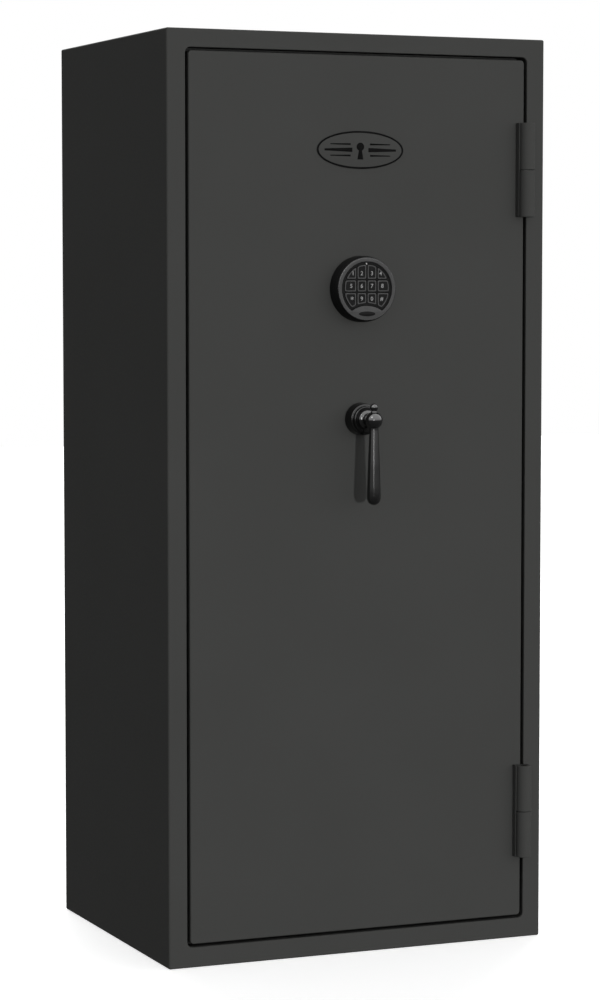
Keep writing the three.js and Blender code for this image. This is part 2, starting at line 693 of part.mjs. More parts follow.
function buildSafe() {
  const safe = new THREE.Group();
  addBody(safe);
  addHinge(safe, "upper");
  addHinge(safe, "lower");
  const door = groupAt(safe, 0, 0, 0);
  addDoorPan(door);
  addChassis(door);
  addLock(door);
  addBadge(door);
  addBoltwork(door);
  addHandle(door);
  addKeypad(door);
  return safe;
}

export default buildSafe();
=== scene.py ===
"""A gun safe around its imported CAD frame: steel body, hinged door, keypad lock, lever and carpeted room.

Metres, +Z up, the door on the -Y side. Places and sizes come from the frame wherever a CAD node gives them.
"""

import json
import math

import bmesh
import bpy
from mathutils import Matrix, Vector, noise


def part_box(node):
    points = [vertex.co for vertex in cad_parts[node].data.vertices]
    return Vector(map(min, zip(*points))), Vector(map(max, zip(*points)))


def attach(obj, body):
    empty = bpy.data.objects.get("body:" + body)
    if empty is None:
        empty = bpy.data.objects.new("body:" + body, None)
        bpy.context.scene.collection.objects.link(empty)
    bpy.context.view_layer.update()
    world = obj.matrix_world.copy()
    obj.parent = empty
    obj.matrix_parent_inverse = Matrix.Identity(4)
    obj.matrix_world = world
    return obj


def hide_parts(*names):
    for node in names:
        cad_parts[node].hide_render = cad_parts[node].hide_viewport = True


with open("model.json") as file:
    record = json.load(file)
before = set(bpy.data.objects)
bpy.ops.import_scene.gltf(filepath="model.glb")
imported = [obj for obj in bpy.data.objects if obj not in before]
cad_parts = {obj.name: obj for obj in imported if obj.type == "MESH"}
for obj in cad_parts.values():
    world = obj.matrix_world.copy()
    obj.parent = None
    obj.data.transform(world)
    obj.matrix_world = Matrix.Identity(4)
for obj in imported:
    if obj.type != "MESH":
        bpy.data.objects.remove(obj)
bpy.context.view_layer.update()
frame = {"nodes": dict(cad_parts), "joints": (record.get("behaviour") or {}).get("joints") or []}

MM = 0.001
SHARP_ANGLE = math.radians(32)
SAME_POINT = 1e-6  # Points of a profile closer than this are one point.
PLATE_WELD = 0.5e-6  # Distance within which a plate's points are joined.
FINE_WELD = 1e-7  # The same for a closed ring or a legend, and the least radius of a turned ring.
GAP = 0.3 * MM  # Between neighbours that would touch.

# ---- Places from the frame ----

SHELL_LOW, SHELL_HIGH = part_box("body_shell")
JAMB_LOW, JAMB_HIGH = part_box("door_frame_jamb")
DOOR_LOW, DOOR_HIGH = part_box("door_panel")
KEYPAD_LOW, KEYPAD_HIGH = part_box("keypad_housing")
ROSETTE_LOW, ROSETTE_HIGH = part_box("handle_rosette")
FRONT = SHELL_LOW.y
BACK = SHELL_HIGH.y
SHEET = 3 * MM
JAMB_SHEET = 2.5 * MM
KEYPAD_Z = (KEYPAD_LOW.z + KEYPAD_HIGH.z) / 2
HANDLE_Z = (ROSETTE_LOW.z + ROSETTE_HIGH.z) / 2
HINGE_X, HINGE_Y = next(j for j in frame["joints"] if j["name"] == "door_swing")["pos_m"][:2]


# ---- Camera and light ----

CAMERA_PLACE = (-1.9860, -4.6778, 1.0870)
CAMERA_PITCH = 4.173
CAMERA_YAW = 23.046
CAMERA_LENS = 109.41
CAMERA_SENSOR = 36


def make_camera():
    data = bpy.data.cameras.new("camera")
    data.lens = CAMERA_LENS
    data.sensor_width = CAMERA_SENSOR
    camera = bpy.data.objects.new("camera", data)
    camera.location = CAMERA_PLACE
    camera.rotation_euler = (math.radians(90 - CAMERA_PITCH), 0, math.radians(-CAMERA_YAW))
    bpy.context.scene.collection.objects.link(camera)
    bpy.context.scene.camera = camera


STUDIO_MIDDLE = Vector((0, -0.25, 0.9))
STUDIO_RADIUS = 30
KEY_DIRECTION = (-1, 0)
KEY_STRENGTH = 1.6
KEY_ANGLE = math.radians(2.5)

# Name, direction, radiance, width and height in degrees, and the kind of ray that doesn't see the softbox.
SOFTBOXES = (
    ("front_fill", (30, 10), 1.6, 60, 30, "visible_glossy"),
    ("strip", (-24, 7), 12.0, 5, 14, "visible_diffuse"),
    ("upper_left", (-58, 42), 9.0, 14, 14, "visible_diffuse"),
    ("rear", (160, 25), 4.5, 45, 35, None),
)


def towards(azimuth, elevation):
    """The direction of a light: azimuth 0 is in front of the door, positive to its right, both in degrees."""
    a, e = math.radians(azimuth), math.radians(elevation)
    return Vector((math.sin(a) * math.cos(e), -math.cos(a) * math.cos(e), math.sin(e)))


def add_light(name, kind, direction, energy, **settings):
    data = bpy.data.lights.new(name, kind)
    data.energy = energy
    for key, value in settings.items():
        setattr(data, key, value)
    light = bpy.data.objects.new(name, data)
    light.location = STUDIO_MIDDLE + direction * STUDIO_RADIUS
    light.rotation_euler = (-direction).to_track_quat("-Z", "Y").to_euler()
    bpy.context.scene.collection.objects.link(light)
    return light


def add_softbox(name, direction, radiance, width, height):
    """A far rectangular light of an even radiance, its sides given in degrees of the studio's sky."""
    size = [2 * STUDIO_RADIUS * math.tan(math.radians(side) / 2) for side in (width, height)]
    energy = radiance * math.pi * size[0] * size[1]
    return add_light(name, "AREA", direction, energy, shape="RECTANGLE", size=size[0], size_y=size[1])


def make_lights():
    """A level key and the softboxes: a fill, two that only show in glossy surfaces, and one for the rear."""
    key = add_light("front_key", "SUN", towards(*KEY_DIRECTION), KEY_STRENGTH, angle=KEY_ANGLE)
    key.visible_glossy = False
    for name, direction, radiance, width, height, unseen_by in SOFTBOXES:
        softbox = add_softbox(name, towards(*direction), radiance, width, height)
        if unseen_by:
            setattr(softbox, unseen_by, False)


# Radiance of the studio's sky by the sine of the elevation, as diffuse and as glossy surfaces see it.
DIFFUSE_SKY = ((-1.0, 0.18), (0.0, 0.26), (1.0, 0.45))
GLOSSY_SKY = ((-1.0, 0.08), (-0.05, 0.14), (0.0, 0.3), (0.03, 0.7), (0.06, 1.5), (0.35, 2.6), (1.0, 2.8))
FLOOR_HALF = 14
FLOOR_DROP = 0.2 * MM


def sky(tree, height, steps):
    """A background whose brightness follows the steps of (height, radiance)."""
    half = tree.nodes.new("ShaderNodeMapRange")
    half.inputs["From Min"].default_value = -1
    ramp = tree.nodes.new("ShaderNodeValToRGB")
    background = tree.nodes.new("ShaderNodeBackground")
    brightest = max(radiance for _, radiance in steps)
    background.inputs["Strength"].default_value = brightest
    elements = ramp.color_ramp.elements
    while len(elements) < len(steps):
        elements.new(0.5)
    for element, (place, radiance) in zip(elements, steps):
        element.position = (place + 1) / 2
        level = radiance / brightest
        element.color = (level, level, level, 1)
    tree.links.new(height, half.inputs["Value"])
    tree.links.new(half.outputs["Result"], ramp.inputs["Fac"])
    tree.links.new(ramp.outputs["Color"], background.inputs["Color"])
    return background.outputs[0]


def make_world():
    """White behind the object, and a dimmer studio for what it lights and what shows in glossy surfaces.

    The glossy sky darkens towards the back, so the sides keep an even tone.
    """
    world = bpy.data.worlds.new("studio")
    world.use_nodes = True
    bpy.context.scene.world = world
    tree = world.node_tree
    tree.nodes.clear()
    coordinates = tree.nodes.new("ShaderNodeTexCoord")
    split = tree.nodes.new("ShaderNodeSeparateXYZ")
    tree.links.new(coordinates.outputs["Generated"], split.inputs[0])
    path = tree.nodes.new("ShaderNodeLightPath")
    white = tree.nodes.new("ShaderNodeBackground")
    white.inputs["Color"].default_value = (1, 1, 1, 1)
    behind = tree.nodes.new("ShaderNodeMath")
    behind.operation = "MAXIMUM"
    behind.inputs[1].default_value = 0
    tree.links.new(split.outputs["Y"], behind.inputs[0])
    height = tree.nodes.new("ShaderNodeMath")
    height.operation = "SUBTRACT"
    tree.links.new(split.outputs["Z"], height.inputs[0])
    tree.links.new(behind.outputs[0], height.inputs[1])
    shader = sky(tree, split.outputs["Z"], DIFFUSE_SKY)
    for ray, seen in (
        ("Is Glossy Ray", sky(tree, height.outputs[0], GLOSSY_SKY)),
        ("Is Camera Ray", white.outputs[0]),
    ):
        mix = tree.nodes.new("ShaderNodeMixShader")
        tree.links.new(path.outputs[ray], mix.inputs[0])
        tree.links.new(shader, mix.inputs[1])
        tree.links.new(seen, mix.inputs[2])
        shader = mix.outputs[0]
    output = tree.nodes.new("ShaderNodeOutputWorld")
    tree.links.new(shader, output.inputs["Surface"])


def make_floor(floor_material):
    """A pale floor that shows the object's shadow, but doesn't light, darken or mirror in the object."""
    bm = bmesh.new()
    bmesh.ops.create_grid(bm, x_segments=8, y_segments=8, size=FLOOR_HALF)
    floor = add_object("studio_floor", bm, [floor_material])
    floor.location.z = SHELL_LOW.z - FLOOR_DROP
    floor.visible_diffuse = False
    floor.visible_glossy = False
    floor.visible_shadow = False


# ---- Materials ----


class Surface:
    """A Principled material with helpers that add one procedural layer each."""

    def __init__(self, name, roughness, metallic=0.0, **sockets):
        self.material = bpy.data.materials.new(name)
        self.material.use_nodes = True
        self.tree = self.material.node_tree
        self.shader = self.tree.nodes["Principled BSDF"]
        self.shader.inputs["Roughness"].default_value = roughness
        self.shader.inputs["Metallic"].default_value = metallic
        for socket, value in sockets.items():
            self.shader.inputs[socket.replace("_", " ")].default_value = value
        self.coordinates = self.tree.nodes.new("ShaderNodeTexCoord")
        self.bump_socket = None

    def texture(self, kind, scale, stretch=(1, 1, 1)):
        """A texture with scale in features per metre, drawn out along the axes by stretch."""
        mapping = self.tree.nodes.new("ShaderNodeMapping")
        mapping.inputs["Scale"].default_value = [scale / s for s in stretch]
        texture = self.tree.nodes.new(kind)
        texture.inputs["Scale"].default_value = 1.0
        self.tree.links.new(self.coordinates.outputs["Object"], mapping.inputs["Vector"])
        self.tree.links.new(mapping.outputs["Vector"], texture.inputs["Vector"])
        return texture

    def noise(self, scale, detail=2.0, stretch=(1, 1, 1)):
        texture = self.texture("ShaderNodeTexNoise", scale, stretch)
        texture.inputs["Detail"].default_value = detail
        return texture.outputs["Fac"]

    def cells(self, scale):
        """Distance to the nearest of scattered points."""
        return self.texture("ShaderNodeTexVoronoi", scale).outputs["Distance"]

    def colour(self, value, dark, light, low=0.35, high=0.65):
        ramp = self.tree.nodes.new("ShaderNodeValToRGB")
        for element, position, tone in zip(ramp.color_ramp.elements, (low, high), (dark, light)):
            element.position = position
            element.color = (*tone, 1)
        self.tree.links.new(value, ramp.inputs["Fac"])
        self.tree.links.new(ramp.outputs["Color"], self.shader.inputs["Base Color"])
        return self

    def roughness(self, value, smooth, rough, low=0.3, high=0.7):
        remap = self.tree.nodes.new("ShaderNodeMapRange")
        for socket, number in zip(("From Min", "From Max", "To Min", "To Max"), (low, high, smooth, rough)):
            remap.inputs[socket].default_value = number
        self.tree.links.new(value, remap.inputs["Value"])
        self.tree.links.new(remap.outputs["Result"], self.shader.inputs["Roughness"])
        return self

    def bump(self, value, distance, strength=1.0):
        bump = self.tree.nodes.new("ShaderNodeBump")
        bump.inputs["Strength"].default_value = strength
        bump.inputs["Distance"].default_value = distance
        self.tree.links.new(value, bump.inputs["Height"])
        if self.bump_socket is not None:
            self.tree.links.new(self.bump_socket, bump.inputs["Normal"])
        self.bump_socket = bump.outputs["Normal"]
        self.tree.links.new(self.bump_socket, self.shader.inputs["Normal"])
        return self


def grey(value, warmth=0.0):
    return (value * (1 + warmth), value, value * (1 - warmth))


PAINT_TONES = ((0.0460, 0.0465, 0.0448), (0.0485, 0.0490, 0.0474))


def powder_coat():
    """Satin charcoal powder coat: faint tone drift over the sheet and a fine orange-peel skin."""
    surface = Surface("powder_coat", 0.7, Specular_IOR_Level=0.06)
    surface.colour(surface.noise(5, 3), *PAINT_TONES, 0.3, 0.7)
    surface.roughness(surface.noise(260, 3), 0.64, 0.76)
    surface.bump(surface.noise(750, 2), 0.05 * MM, 0.6)
    return surface.bump(surface.noise(2.2, 1), 1.2 * MM, 0.25).material


def carpet():
    """Short needle-punched pile: matted fibre clumps over a slow drift of tone."""
    surface = Surface("carpet", 0.95, Sheen_Weight=0.35, Sheen_Roughness=0.5)
    surface.colour(surface.noise(420, 5), grey(0.055, 0.02), grey(0.13, 0.02), 0.3, 0.72)
    surface.bump(surface.cells(650), 0.7 * MM, 0.8)
    return surface.bump(surface.noise(1600, 3), 0.4 * MM, 0.7).material


# Each finish: its base roughness, then its noises as (features per metre, detail, low value, high value) and,
# where the grain is drawn out, a stretch. The skin's values are its relief in millimetres and its strength.
FINISHES = {
    "black_enamel": dict(
        roughness=0.12, tone=(40, 3, grey(0.003), grey(0.005)), gloss=(300, 3, 0.09, 0.15),
        skin=(700, 1, 0.003, 0.5), Specular_IOR_Level=0.6, Coat_Weight=0.35, Coat_Roughness=0.04,
    ),
    "black_rosette": dict(
        roughness=0.16, tone=(40, 3, grey(0.003), grey(0.005)), gloss=(300, 3, 0.13, 0.2),
        skin=(700, 1, 0.003, 0.5), Specular_IOR_Level=0.35,
    ),
    "satin_edge": dict(
        roughness=0.25, metallic=1.0, tone=(60, 2, grey(0.09), grey(0.12)), gloss=(500, 2, 0.2, 0.3),
    ),
    "badge_black": dict(
        roughness=0.6, tone=(60, 2, grey(0.0015), grey(0.0035)), gloss=(400, 2, 0.52, 0.66),
        skin=(1500, 1, 0.01, 0.5), Specular_IOR_Level=0.05,
    ),
    "moulded_black": dict(
        roughness=0.55, tone=(90, 2, grey(0.0035), grey(0.005)), gloss=(500, 2, 0.5, 0.6),
        skin=(1800, 2, 0.02, 0.6), Specular_IOR_Level=0.1,
    ),
    "moulded_grey": dict(
        roughness=0.5, tone=(90, 2, grey(0.046), grey(0.052)), gloss=(500, 2, 0.44, 0.56),
        skin=(1800, 2, 0.02, 0.6), Specular_IOR_Level=0.2,
    ),
    "key_rubber": dict(
        roughness=0.6, tone=(300, 2, grey(0.004), grey(0.0065)), gloss=(600, 2, 0.55, 0.7),
        skin=(2200, 2, 0.02, 0.6), Specular_IOR_Level=0.12,
    ),
    "key_rim": dict(
        roughness=0.5, tone=(300, 2, grey(0.048), grey(0.056)), skin=(2200, 2, 0.01, 0.5),
        Specular_IOR_Level=0.2,
    ),
    "key_legend": dict(roughness=0.5, tone=(500, 2, grey(0.2), grey(0.25)), skin=(2200, 2, 0.01, 0.5)),
    "lamp_lens": dict(roughness=0.15, tone=(900, 2, grey(0.5, 0.02), grey(0.62, 0.02)), Coat_Weight=0.5),
    "bare_steel": dict(
        roughness=0.42, metallic=1.0, tone=(12, 2, grey(0.27), grey(0.31)),
        gloss=(700, 3, 0.38, 0.5, (1, 1, 25)), skin=(900, 2, 0.01, 0.6, (1, 1, 25)),
    ),
    # Fine rings from the lathe, for bolts along X.
    "turned_steel": dict(
        roughness=0.22, metallic=1.0, tone=(60, 2, grey(0.62), grey(0.72)),
        gloss=(900, 2, 0.16, 0.3, (1, 12, 12)), skin=(1400, 1, 0.008, 0.6, (1, 20, 20)),
    ),
    "brass": dict(
        roughness=0.3, metallic=1.0, tone=(60, 3, (0.5, 0.33, 0.11), (0.6, 0.41, 0.15)),
        gloss=(400, 2, 0.24, 0.4),
    ),
    "gypsum_board": dict(
        roughness=0.9, tone=(25, 4, (0.52, 0.49, 0.44), (0.62, 0.59, 0.54)), skin=(1200, 3, 0.08, 1.0),
    ),
    "piping": dict(
        roughness=0.7, tone=(500, 3, grey(0.012), grey(0.022)), skin=(1800, 2, 0.15, 1.0, (1, 1, 0.5)),
    ),
    "seal_rubber": dict(
        roughness=0.75, tone=(200, 3, grey(0.014), grey(0.024)), skin=(1100, 2, 0.06, 1.0),
    ),
    "studio_floor": dict(
        roughness=0.8, tone=(0.8, 2, grey(0.86), grey(0.88)),
        Emission_Color=(1, 1, 1, 1), Emission_Strength=0.62,
    ),
}


def finish(name):
    return layered(name, **FINISHES[name])


def layered(name, roughness, tone, gloss=None, skin=None, metallic=0.0, **sockets):
    """A material with a noise for its tone and, where they are given, for its roughness and its relief."""
    surface = Surface(name, roughness, metallic, **sockets)
    scale, detail, dark, light = tone
    surface.colour(surface.noise(scale, detail), dark, light)
    if gloss:
        scale, detail, smooth, rough, *stretch = gloss
        surface.roughness(surface.noise(scale, detail, *stretch), smooth, rough)
    if skin:
        scale, detail, relief, strength, *stretch = skin
        surface.bump(surface.noise(scale, detail, *stretch), relief * MM, strength)
    return surface.material


# ---- Mesh tools ----


def add_object(name, bm, materials, weighted=False):
    """A linked object of a bmesh, smooth between its sharp edges."""
    bmesh.ops.recalc_face_normals(bm, faces=bm.faces)
    if bm.calc_volume(signed=True) < 0:
        bmesh.ops.reverse_faces(bm, faces=bm.faces)
    mesh = bpy.data.meshes.new(name)
    bm.to_mesh(mesh)
    bm.free()
    for material in materials:
        mesh.materials.append(material)
    mesh.polygons.foreach_set("use_smooth", [True] * len(mesh.polygons))
    mesh.set_sharp_from_angle(angle=SHARP_ANGLE)
    piece = bpy.data.objects.new(name, mesh)
    bpy.context.scene.collection.objects.link(piece)
    if weighted:
        weight = piece.modifiers.new("weighted_normals", "WEIGHTED_NORMAL")
        weight.keep_sharp = True
        weight.weight = 100
    return piece


def settle(piece, body, slot, *replaced):
    """Puts a finished piece on its body and hides the CAD nodes that it stands for."""
    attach(piece, body)
    if replaced:
        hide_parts(*replaced)
    return piece


def spaced(low, high, count):
    return [low + (high - low) * i / (count - 1) for i in range(count)]


def scaled(points):
    """Points given in millimetres, in metres."""
    return [(a * MM, b * MM) for a, b in points]


def filleted(points, radius, steps=4):
    """The open line with each inner corner replaced by a curve that starts up to radius before it."""
    made = [points[0]]
    for before, corner, after in zip(points, points[1:], points[2:]):
        b, c, a = Vector(before), Vector(corner), Vector(after)
        start = c + (b - c).normalized() * min(radius, (b - c).length / 2)
        end = c + (a - c).normalized() * min(radius, (a - c).length / 2)
        for t in spaced(0, 1, steps + 1):
            point = start * (1 - t) ** 2 + c * (2 * t * (1 - t)) + end * t ** 2
            if (point - Vector(made[-1])).length > SAME_POINT:
                made.append(tuple(point))
    made.append(points[-1])
    return made


def grow(rect, by):
    x0, x1, z0, z1 = rect
    return (x0 - by, x1 + by, z0 - by, z1 + by)


def rect_of(low, high):
    return (low.x, high.x, low.z, high.z)


def rect_ring(rect, radius, y, steps=6):
    """A rounded rectangle's points in the XZ plane."""
    x0, x1, z0, z1 = rect
    corners = (
        (x1 - radius, z0 + radius, -90),
        (x1 - radius, z1 - radius, 0),
        (x0 + radius, z1 - radius, 90),
        (x0 + radius, z0 + radius, 180),
    )
    points = []
    for x, z, start in corners:
        for degrees in spaced(start, start + 90, steps + 1):
            angle = math.radians(degrees)
            points.append((x + radius * math.cos(angle), y, z + radius * math.sin(angle)))
    return points


def loft(rings, closed=False, cap_start=False, cap_end=False):
    """Quads between rings of equal length, with an optional flat cap at either end."""
    bm = bmesh.new()
    loops = [[bm.verts.new(p) for p in ring] for ring in rings]
    pairs = list(zip(loops, loops[1:]))
    if closed:
        pairs.append((loops[-1], loops[0]))
    for first, second in pairs:
        for i in range(len(first)):
            j = (i + 1) % len(first)
            bm.faces.new((first[i], first[j], second[j], second[i]))
    if cap_start:
        bm.faces.new(loops[0])
    if cap_end:
        bm.faces.new(loops[-1])
    return bm


def sweep_rect(rect, corner, profile, **options):
    """A profile of (outward offset, y) points swept round a rounded rectangle."""
    least = 0.4 * MM
    rings = [rect_ring(grow(rect, offset), max(corner + offset, least), y) for offset, y in profile]
    return loft(rings, **options)


def turned(profile, frame_matrix, segments=64):
    """A profile of (radius, height) points turned round the local Z axis, then placed by the matrix."""
    bm = bmesh.new()
    rows = []
    for radius, height in profile:
        if radius < FINE_WELD:
            rows.append([bm.verts.new((0, 0, height))])
            continue
        angles = [2 * math.pi * i / segments for i in range(segments)]
        rows.append([bm.verts.new((radius * math.cos(a), radius * math.sin(a), height)) for a in angles])
    for first, second in zip(rows, rows[1:]):
        for i in range(segments):
            j = (i + 1) % segments
            corners = [ring[k % len(ring)] for ring, k in ((first, i), (first, j), (second, j), (second, i))]
            unique = list(dict.fromkeys(corners))
            if len(unique) > 2:
                bm.faces.new(unique)
    bm.transform(frame_matrix)
    return bm


def forward_from(x, z):
    """Local +Z becomes forwards, out of the door, from the door's face at (x, z)."""
    return Matrix.Translation((x, FRONT, z)) @ Matrix.Rotation(math.radians(90), 4, "X")


def merged(*parts):
    """Several closed bmeshes as one."""
    whole = bmesh.new()
    for part in parts:
        mesh = bpy.data.meshes.new("part")
        part.to_mesh(mesh)
        part.free()
        whole.from_mesh(mesh)
        bpy.data.meshes.remove(mesh)
    return whole


def solid_of(curve, weld):
    """The closed mesh of a curve or a text, whose own data is dropped."""
    holder = bpy.data.objects.new("outline", curve)
    mesh = bpy.data.meshes.new_from_object(holder)
    bm = bmesh.new()
    bm.from_mesh(mesh)
    bmesh.ops.remove_doubles(bm, verts=bm.verts, dist=weld)
    bpy.data.objects.remove(holder)
    bpy.data.curves.remove(curve)
    bpy.data.meshes.remove(mesh)
    return bm


def outline_plate(outlines, low, high, bevel, frame_matrix):
    """A plate between two local heights with bevelled rims: its rim first, then any holes."""
    curve = bpy.data.curves.new("outline", "CURVE")
    curve.dimensions = "2D"
    curve.fill_mode = "BOTH"
    curve.extrude = (high - low) / 2 - bevel
    curve.bevel_depth = bevel
    curve.bevel_resolution = 2
    curve.offset = -bevel
    for number, outline in enumerate(outlines):
        points = outline if number == 0 else list(reversed(outline))
        spline = curve.splines.new("POLY")
        spline.points.add(len(points) - 1)
        for point, (x, y) in zip(spline.points, points):
            point.co = (x, y, 0, 1)
        spline.use_cyclic_u = True
    bm = solid_of(curve, PLATE_WELD)
    bmesh.ops.translate(bm, vec=(0, 0, (low + high) / 2), verts=bm.verts)
    bm.transform(frame_matrix)
    return bm


def arc(radius, angles, x=0.0, y=0.0):
    return [(x + radius * math.cos(a), y + radius * math.sin(a)) for a in angles]


def oval(half_width, half_height, centre=(0, 0), count=96):
    angles = [2 * math.pi * i / count for i in range(count)]
    return [(centre[0] + half_width * math.cos(a), centre[1] + half_height * math.sin(a)) for a in angles]


RIPPLE_LENGTH = 14 * MM


def soft_steps(low, high, radius, cell):
    """Cuts along one side of a soft box, close together over its rounded edges."""
    inner = max(1, round((high - low - 2 * radius) / cell))
    edge = [0, 0.25 * radius, 0.6 * radius]
    middle = spaced(low + radius, high - radius, inner + 1)
    return [low + e for e in edge] + middle + [high - e for e in reversed(edge)]


def soft_box(low, high, radius, cell, ripple):
    """A box with rounded edges and a slightly uneven skin, which stays within its corners."""
    cuts = [soft_steps(low[k], high[k], radius, cell) for k in range(3)]
    bm = bmesh.new()
    verts = {}

    def corner(index):
        if index not in verts:
            point = Vector([cuts[k][index[k]] for k in range(3)])
            core = Vector([min(max(point[k], low[k] + radius), high[k] - radius) for k in range(3)])
            out = (point - core).normalized()
            depth = ripple * (0.5 + 0.5 * noise.noise(point / RIPPLE_LENGTH))
            verts[index] = bm.verts.new(core + out * (radius - depth))
        return verts[index]

    for fixed in range(3):
        u, v = (k for k in range(3) if k != fixed)
        for end in (0, len(cuts[fixed]) - 1):
            for i in range(len(cuts[u]) - 1):
                for j in range(len(cuts[v]) - 1):
                    corners = []
                    for du, dv in ((0, 0), (1, 0), (1, 1), (0, 1)):
                        index = [0, 0, 0]
                        index[fixed], index[u], index[v] = end, i + du, j + dv
                        corners.append(corner(tuple(index)))
                    bm.faces.new(corners)
    return bm


# ---- Body ----

OPENING = grow(rect_of(JAMB_LOW, JAMB_HIGH), -JAMB_SHEET)
OPENING_CORNER = 9 * MM
BODY_EDGE = 3 * MM
ANCHOR_RADIUS = 7 * MM
ANCHORS = [(x, y) for x in (-0.240, 0.240) for y in (-0.160, 0.160)]
REAR_STEP = 1.3 * MM  # How far the rear sheet lies inside the hem.
SIDE_WELDS = 8
SIDE_WELD_INSET = 80 * MM
END_WELDS = 4
END_WELD_INSET = 100 * MM


def body_rings():
    """Rings of the folded sheet: from the opening's edge over the front, back along the sides and inside."""
    outer = rect_of(SHELL_LOW, SHELL_HIGH)
    rim = 1.2 * MM
    rings = [(OPENING, OPENING_CORNER, FRONT + SHEET)]
    for degrees in (0, 30, 60, 90):
        angle = math.radians(degrees)
        offset = rim * (1 - math.cos(angle))
        rings.append((grow(OPENING, offset), OPENING_CORNER + offset, FRONT + rim * (1 - math.sin(angle))))
    for degrees in (90, 72, 54, 36, 18, 0):
        angle = math.radians(degrees)
        offset = BODY_EDGE * (1 - math.cos(angle))
        depth = BODY_EDGE * (1 - math.sin(angle))
        rings.append((grow(outer, -offset), BODY_EDGE - 0.8 * offset, FRONT + depth))
    hem = 0.7 * MM
    inner = grow(outer, -SHEET)
    least = 0.5 * MM
    rings.append((outer, BODY_EDGE, BACK - hem))
    rings.append((grow(outer, -0.3 * hem), BODY_EDGE, BACK - 0.3 * hem))
    rings.append((grow(outer, -hem), BODY_EDGE - hem, BACK))
    rings.append((inner, least, BACK))
    rings.append((inner, least, FRONT + SHEET))
    return [rect_ring(rect, radius, y) for rect, radius, y in rings]


def make_body(paint):
    shell = add_object("painted_body", loft(body_rings(), closed=True), [paint], weighted=True)
    holes = merged(*[anchor_cutter(x, y) for x, y in ANCHORS])
    cutter = add_object("anchor_cutter", holes, [paint])
    cut = shell.modifiers.new("anchor_holes", "BOOLEAN")
    cut.operation = "DIFFERENCE"
    cut.object = cutter
    shell.modifiers.move(1, 0)
    applied = bpy.data.meshes.new_from_object(shell.evaluated_get(bpy.context.evaluated_depsgraph_get()))
    shell.modifiers.clear()
    shell.data = applied
    bpy.data.objects.remove(cutter)
    settle(shell, "safe_body", "powder_coat", "body_shell")


def anchor_cutter(x, y):
    reach = 2 * SHEET
    profile = [(0, -reach), (ANCHOR_RADIUS, -reach), (ANCHOR_RADIUS, reach), (0, reach)]
    return turned(profile, Matrix.Translation((x, y, 0)), 32)


def make_back(paint):
    """The rear sheet with its stitch welds to the shell."""
    low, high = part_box("back_panel")
    rim = 0.5 * MM
    face = high.y - REAR_STEP
    profile = [(0, low.y), (0, face - rim), (-0.3 * rim, face - 0.3 * rim), (-rim, face)]
    sheet = sweep_rect(rect_of(low, high), 1 * MM, profile, cap_start=True, cap_end=True)
    piece = add_object("rear_sheet", sheet, [paint], weighted=True)
    settle(piece, "safe_body", "powder_coat", "back_panel")
    beads = []
    for side in (low.x, high.x):
        for z in spaced(low.z + SIDE_WELD_INSET, high.z - SIDE_WELD_INSET, SIDE_WELDS):
            beads.append(weld_bead((side, face, z), (0, 0, 1)))
    for side in (low.z, high.z):
        for x in spaced(low.x + END_WELD_INSET, high.x - END_WELD_INSET, END_WELDS):
            beads.append(weld_bead((x, face, side), (1, 0, 0)))
    settle(add_object("rear_welds", merged(*beads), [paint]), "safe_body", "powder_coat")


def weld_bead(centre, along, length=40 * MM, radius=2.4 * MM, ripples=13):
    """A rippled bead in the corner between the hem and the rear sheet, no prouder than the hem."""
    steps = 4 * ripples
    sides = 10
    rings = []
    direction = Vector(along)
    side = direction.cross(Vector((0, 1, 0)))
    for i in range(steps + 1):
        t = i / steps
        taper = math.sqrt(max(0.02, 1 - (2 * t - 1) ** 8))
        swell = taper * (0.88 + 0.12 * abs(math.sin(math.pi * ripples * t)))
        middle = Vector(centre) + direction * (length * (t - 0.5)) + Vector((0, REAR_STEP - radius, 0))
        ring = []
        for k in range(sides):
            angle = 2 * math.pi * k / sides
            ring.append(middle + (side * math.cos(angle) + Vector((0, math.sin(angle), 0))) * radius * swell)
        rings.append(ring)
    return loft(rings, cap_start=True, cap_end=True)


def make_jamb(paint):
    """The folded jamb: a return behind the opening and a stop flange turned inwards."""
    front, rear = JAMB_LOW.y, JAMB_HIGH.y
    stop = -12 * MM
    inner = rear - JAMB_SHEET
    line = [(0, front), (0, inner), (stop, inner), (stop, rear), (JAMB_SHEET, rear), (JAMB_SHEET, front)]
    ring = sweep_rect(OPENING, OPENING_CORNER, filleted(line, 1.1 * MM, 3), closed=True)
    piece = add_object("folded_jamb", ring, [paint], weighted=True)
    settle(piece, "safe_body", "powder_coat", "door_frame_jamb")


def make_seal(rubber):
    """A flat strip with three ribs, on the jamb's stop flange."""
    low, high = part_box("door_seal")
    width = 9 * MM
    ribs = 3
    thick = high.y - low.y
    line = [(0, high.y)]
    for rib in range(ribs):
        middle = -width * (rib + 0.5) / ribs
        half = width / 8
        for offset, height in ((half, 0.45), (half / 2, 0.95), (-half / 2, 0.95), (-half, 0.45)):
            line.append((middle + offset, high.y - thick * height))
    line.append((-width, high.y))
    piece = add_object("ribbed_seal", sweep_rect(rect_of(low, high), 8 * MM, line, closed=True), [rubber])
    settle(piece, "safe_body", "seal_rubber", "door_seal")


# ---- Room ----

CARPET_CELL = 18 * MM
CARPET_EDGE = 1.4 * MM
BOARD_EDGE = 4 * MM
CLEAT_INSET = 50 * MM
CLEAT_LENGTH = 300 * MM
# A cleat's section in millimetres: out from the wall, and down from the shelf.
CLEAT = ((0, 0), (0, 19), (2, 19), (2, 2), (19, 2), (19, 0))


def carpeted(node, name, material, slot, radius, ripple=0.5 * MM):
    low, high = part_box(node)
    piece = add_object(name, soft_box(low, high, radius, CARPET_CELL, ripple), [material])
    return settle(piece, "safe_body", slot, node)


